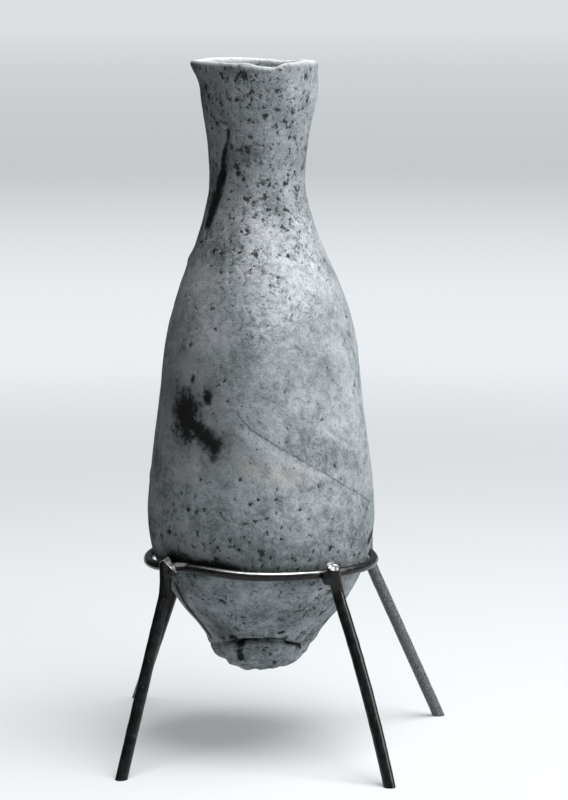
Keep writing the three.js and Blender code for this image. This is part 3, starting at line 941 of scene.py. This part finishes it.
PAINT_STEP = 0.3


def paint(name, lines):
    """Writes how near each vertex is to some lines: a line's strength on it, and 0 half its width away."""
    values = [0.0] * len(bottle.data.vertices)
    for half_width, strength, *places in lines:
        for start, end in runs(places):
            steps = 1 + int((end - start).length / (PAINT_STEP * half_width))
            for step in range(steps + 1):
                middle = start.lerp(end, step / steps)
                for _place, index, distance in wall_points.find_range(middle, half_width):
                    values[index] = max(values[index], strength * (1 - distance / half_width))
    bottle.data.attributes.new(name, "FLOAT", "POINT").data.foreach_set("value", values)


paint("stain", STAIN)
# One mask of painted shade, partly mixed with dirt: the bands near the ring, the crease and the ledge's
# crevice
paint("shade_and_dirt", SHADE_AND_DIRT_BANDS + CREASE_SHADE + LEDGE_SHADE)
paint("dark", DARK_NECK)
paint("pale", PALE_SHOULDER)
paint("tint", TINTS)
bottle.data.attributes.remove(bottle.data.attributes["station"])
# A painted highlight on the lip's top, where the light from above falls
LIP_HIGHLIGHT_STEPS = 2.3
lip_highlight = bottle.data.attributes.new("lip_highlight", "FLOAT", "POINT")
lip_highlight.data.foreach_set("value", [bump(station - LIP_TOP, LIP_HIGHLIGHT_STEPS) for station in stations])
into_place(bottle)
smooth_edges(bottle, 180)

# How near a point is to a line from Start to End: 1 on it, 0 one Width away
mark, given = new_group("mark_along_line", Point="Vector", Start="Vector", End="Vector", Width="Float")
run = vectors(mark, "SUBTRACT", given["End"], given["Start"])
from_start = vectors(mark, "SUBTRACT", given["Point"], given["Start"])
along = vectors(mark, "DOT_PRODUCT", from_start, run)
whole = vectors(mark, "DOT_PRODUCT", run, run)
share = put(mark, "Math", {0: along, 1: whole}, operation="DIVIDE", use_clamp=True).outputs[0]
nearest = vectors(mark, "SCALE", run, Scale=share)
distance = vectors(mark, "LENGTH", vectors(mark, "SUBTRACT", from_start, nearest))
put_out(mark, ranged(mark, distance, given["Width"], 0, soft=True))


def highest(tree, values):
    """The highest of several values."""
    best = values[0]
    for value in values[1:]:
        best = reckon(tree, "MAXIMUM", best, value)
    return best


# Keeps a line that is a single place from having no length at all
A_HAIR = Vector((0, 0, 0.01))


def marks(tree, point, lines):
    """The mask of several lines, each given as a width and the azimuth and height of its points."""
    masks = []
    for width, *places in lines:
        for start, end in runs(places):
            masks.append(use(tree, mark, Point=point, Start=start, End=end + A_HAIR, Width=width))
    return highest(tree, masks)


# A patch of thresholded noise: flecks of about one Size, in ragged shapes. Crowd brings more of them.
RAGGED = dict(detail=3.5, roughness=0.62, distortion=0.35)
CROWD_RAISES = 0.1
FLECK_EDGE = 0.11
flecks, given = new_group("ragged_flecks", Point="Vector", Size="Float", Crowd="Float", Threshold="Float")
ragged = noisy(flecks, given["Point"], reckon(flecks, "DIVIDE", 1, given["Size"]), **RAGGED)
raised = plus(flecks, ragged, (given["Crowd"], CROWD_RAISES))
beyond = reckon(flecks, "SUBTRACT", raised, given["Threshold"])
put_out(flecks, ranged(flecks, beyond, 0, FLECK_EDGE, soft=True))

# Fine marks on the wall: the width in mm, then each point's azimuth and height
INCISED = [
    (1.0, (-13, 173), (-6, 166.4), (5, 160), (22, 150.6), (36, 142.8), (46, 137), (61.5, 129.7), (73, 124)),
]
# A pale streak in the clay, and a painted highlight along the lit edge just below the incised line
PALE_STREAK_AND_HIGHLIGHT = [
    (1.6, (37, 164), (52, 155.5)),
    (4.0, (-12, 167), (-4, 161), (14, 151), (30, 142.5)),
]
CRACKS = [
    (0.85, (-20.6, 125.6), (-18.5, 122.9), (-13.3, 122.2), (-7.8, 120.9), (-2.9, 122), (3.4, 124)),
    (1.2, (-17.9, 243.6), (-14.2, 241.8), (-11.4, 238.5), (-11, 235.3)),
]
CLAY_DARK = grey(0.16, (0.86, 1.0, 1.03))
CLAY_MIDDLE = grey(0.29, (0.91, 1.0, 1.05))
CLAY_LIGHT = grey(0.43, (0.95, 1.0, 1.07))
CLAY_PALE = grey(0.62, (0.97, 1.0, 1.06))
# Near white for the painted highlight on the lip's top
LIP_HIGHLIGHT = grey(0.66, (0.98, 1.0, 1.02))
# Near black for grit, and for painted shade in the pits, cracks and incised line
GRIT_AND_HOLLOW_SHADE = grey(0.012, (0.95, 1.0, 1.05))
# Black for the stain, and for painted shade partly mixed with dirt
STAIN_AND_SHADE_BLACK = grey(0.008)
RUSTY_TINT = (0.42, 0.36, 0.30, 1)

pottery, tree = new_material("grey_pottery")
point = in_mm(tree)
WAVER = dict(scale=0.5, detail=5.0, roughness=0.65, output="Color")
ROUGH_WAVER, FINE_WAVER = 12.0, 2.2
waver = vectors(tree, "SUBTRACT", noisy(tree, point, **WAVER), HALF)
rough_point = vectors(tree, "MULTIPLY_ADD", waver, (ROUGH_WAVER,) * 3, point)
fine_point = vectors(tree, "MULTIPLY_ADD", waver, (FINE_WAVER,) * 3, point)

# The tone of the clay: soft clouds, mottled patches and grain, and a little darker low down
TONE_BASE, TONE_CLOUDS, TONE_PATCHES, TONE_GRAIN, TONE_LOWER = -0.83, 1.1, 1.35, 0.6, -0.12
LOWER_FROM, LOWER_TO = 150, 105
DARK_UP_TO, MIDDLE_AT = 0.42, 0.68
clouds = noisy(tree, point, scale=0.05, detail=4.0, roughness=0.6)
patches = noisy(tree, point, scale=0.27, detail=7.0, roughness=0.74, distortion=0.5)
grain = noisy(tree, point, scale=0.95, detail=4.0, roughness=0.7)
height_here = put(tree, "SeparateXYZ", {0: point}).outputs["Z"]
lower = ranged(tree, height_here, LOWER_FROM, LOWER_TO)
tone = plus(tree, TONE_BASE, (clouds, TONE_CLOUDS), (patches, TONE_PATCHES), (grain, TONE_GRAIN))
tone = plus(tree, tone, (lower, TONE_LOWER))
ramp = put(tree, "ValToRGB", {"Fac": tone})
clays = ramp.color_ramp.elements
clays[0].position, clays[0].color = DARK_UP_TO, CLAY_DARK
clays[1].position, clays[1].color = 1.0, CLAY_LIGHT
clays.new(MIDDLE_AT).color = CLAY_MIDDLE
colour = ramp.outputs["Color"]

# Crowding: flecks are thickest on the neck and shoulder and near the ring
CROWD_BASE, CROWD_CLOUDS, CROWD_PATCHES, CROWD_LOWER = 0.72, -2.0, 1.5, 0.75
UPPER_FROM, UPPER_TO = 205, 262
BIG, SMALL = dict(Size=3.3, Threshold=0.69), dict(Size=1.7, Threshold=0.70)
PIT_FRAY, PIT_EDGE = 2.6, (1.66, 2.15)
upper = ranged(tree, height_here, UPPER_FROM, UPPER_TO)
crowd = plus(tree, upper, (lower, CROWD_LOWER), (clouds, CROWD_CLOUDS), (patches, CROWD_PATCHES))
crowd = reckon(tree, "ADD", crowd, CROWD_BASE)
big_flecks = use(tree, flecks, Point=point, Crowd=crowd, **BIG)
small_flecks = use(tree, flecks, Point=fine_point, Crowd=crowd, **SMALL)
pit_mask = ranged(tree, plus(tree, painted(tree, "pit"), (grain, PIT_FRAY)), *PIT_EDGE, soft=True)

# A net of hairlines in the pale skin of the shoulder
NET_SCALE, NET_LINE = 0.23, (0.14, 0)
OPEN_PATCHES = (0.4, 0.58)
cells = put(tree, "TexVoronoi", {"Vector": rough_point, "Scale": NET_SCALE}, feature="DISTANCE_TO_EDGE")
net = ranged(tree, cells.outputs["Distance"], *NET_LINE)
open_patches = ranged(tree, patches, *OPEN_PATCHES)
net = reckon(tree, "MULTIPLY", reckon(tree, "MULTIPLY", net, open_patches), upper)

incised = marks(tree, fine_point, INCISED)
# The pale streak, and the painted highlight below the incised line
streak_and_highlight = marks(tree, fine_point, PALE_STREAK_AND_HIGHLIGHT)
cracks = marks(tree, fine_point, CRACKS)
CRACK_BREAKS = (0.62, 0.4)
broken_cracks = reckon(tree, "MULTIPLY", cracks, ranged(tree, patches, *CRACK_BREAKS))


def scaled(tree, value, factor):
    """A mask made weaker, or a height made lower."""
    return reckon(tree, "MULTIPLY", value, factor)


# From the clay up: shaded and pale places, a pale streak with a painted highlight below the incised line,
# rusty tint, grit with painted shade in the pits, cracks and incised line, a painted highlight on the lip's
# top, and then stain, and painted shade partly mixed with dirt
NECK_SHADE, SHOULDER_PALE, STREAK_AND_HIGHLIGHT_PALE, TINTED, LIP_HIGHLIGHT_SHARE = 0.5, 0.9, 0.34, 0.3, 0.85
BIG_DARK, SMALL_DARK, NET_DARK, INCISED_DARK, PITS_DARK = 0.9, 0.62, 0.4, 0.24, 0.95
STAIN_PATCHES, STAIN_EDGE = 1.7, (1.0, 1.62)
SHADE_AND_DIRT_GRAIN, SHADE_AND_DIRT_PATCHES, SHADE_AND_DIRT_EDGE = 0.6, 0.9, (0.92, 1.5)
BLACKEST = 0.98
pale = reckon(tree, "MULTIPLY", painted(tree, "pale"), open_patches)
# Grit flecks and hairlines, and painted shade in the pits, cracks and incised line
grit_and_hollow_shade = highest(tree, [
    scaled(tree, big_flecks, BIG_DARK), scaled(tree, small_flecks, SMALL_DARK), scaled(tree, net, NET_DARK),
    scaled(tree, incised, INCISED_DARK), scaled(tree, pit_mask, PITS_DARK), broken_cracks,
])
stain = plus(tree, painted(tree, "stain"), (patches, STAIN_PATCHES))
stain = ranged(tree, stain, *STAIN_EDGE, 0, BLACKEST, soft=True)
# Painted shade, partly mixed with dirt, near the ring, in the crease and under the ledge
shade_and_dirt = plus(tree, painted(tree, "shade_and_dirt"), (grain, SHADE_AND_DIRT_GRAIN), (patches, SHADE_AND_DIRT_PATCHES))
shade_and_dirt = ranged(tree, shade_and_dirt, *SHADE_AND_DIRT_EDGE, 0, BLACKEST, soft=True)
for mask, over in (
    (scaled(tree, painted(tree, "dark"), NECK_SHADE), CLAY_DARK),
    (scaled(tree, pale, SHOULDER_PALE), CLAY_PALE),
    (scaled(tree, streak_and_highlight, STREAK_AND_HIGHLIGHT_PALE), CLAY_PALE),
    (scaled(tree, painted(tree, "tint"), TINTED), RUSTY_TINT),
    (grit_and_hollow_shade, GRIT_AND_HOLLOW_SHADE),
    (scaled(tree, painted(tree, "lip_highlight"), LIP_HIGHLIGHT_SHARE), LIP_HIGHLIGHT),
    (highest(tree, [stain, shade_and_dirt]), STAIN_AND_SHADE_BLACK),
):
    colour = laid_over(tree, mask, colour, over)

# The relief of the skin, in mm: patches and grain stand proud, and marks are sunk into them
GRAIN_PROUD, PATCHES_PROUD = 0.25, 0.9
BIG_SUNK, SMALL_SUNK, NET_SUNK, INCISED_SUNK, CRACKS_SUNK = -0.2, -0.12, -0.08, -0.5, -0.3
SKIN_STRENGTH = 0.85
CLAY_ROUGHNESS = (0.8, 0.98)
CLAY_SPECULAR = 0.12
height = plus(
    tree, scaled(tree, grain, GRAIN_PROUD), (patches, PATCHES_PROUD), (big_flecks, BIG_SUNK),
    (small_flecks, SMALL_SUNK), (net, NET_SUNK), (incised, INCISED_SUNK), (cracks, CRACKS_SUNK),
)
skin = put(tree, "Bump", {"Height": height, "Distance": MM, "Strength": SKIN_STRENGTH}).outputs["Normal"]
dull = ranged(tree, grain, 0, 1, *CLAY_ROUGHNESS)
surface(tree, "BsdfPrincipled", {
    "Base Color": colour, "Roughness": dull, "Specular IOR Level": CLAY_SPECULAR, "Normal": skin,
})

bottle.data.materials.append(pottery)
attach(bottle, "root")
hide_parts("bottle")
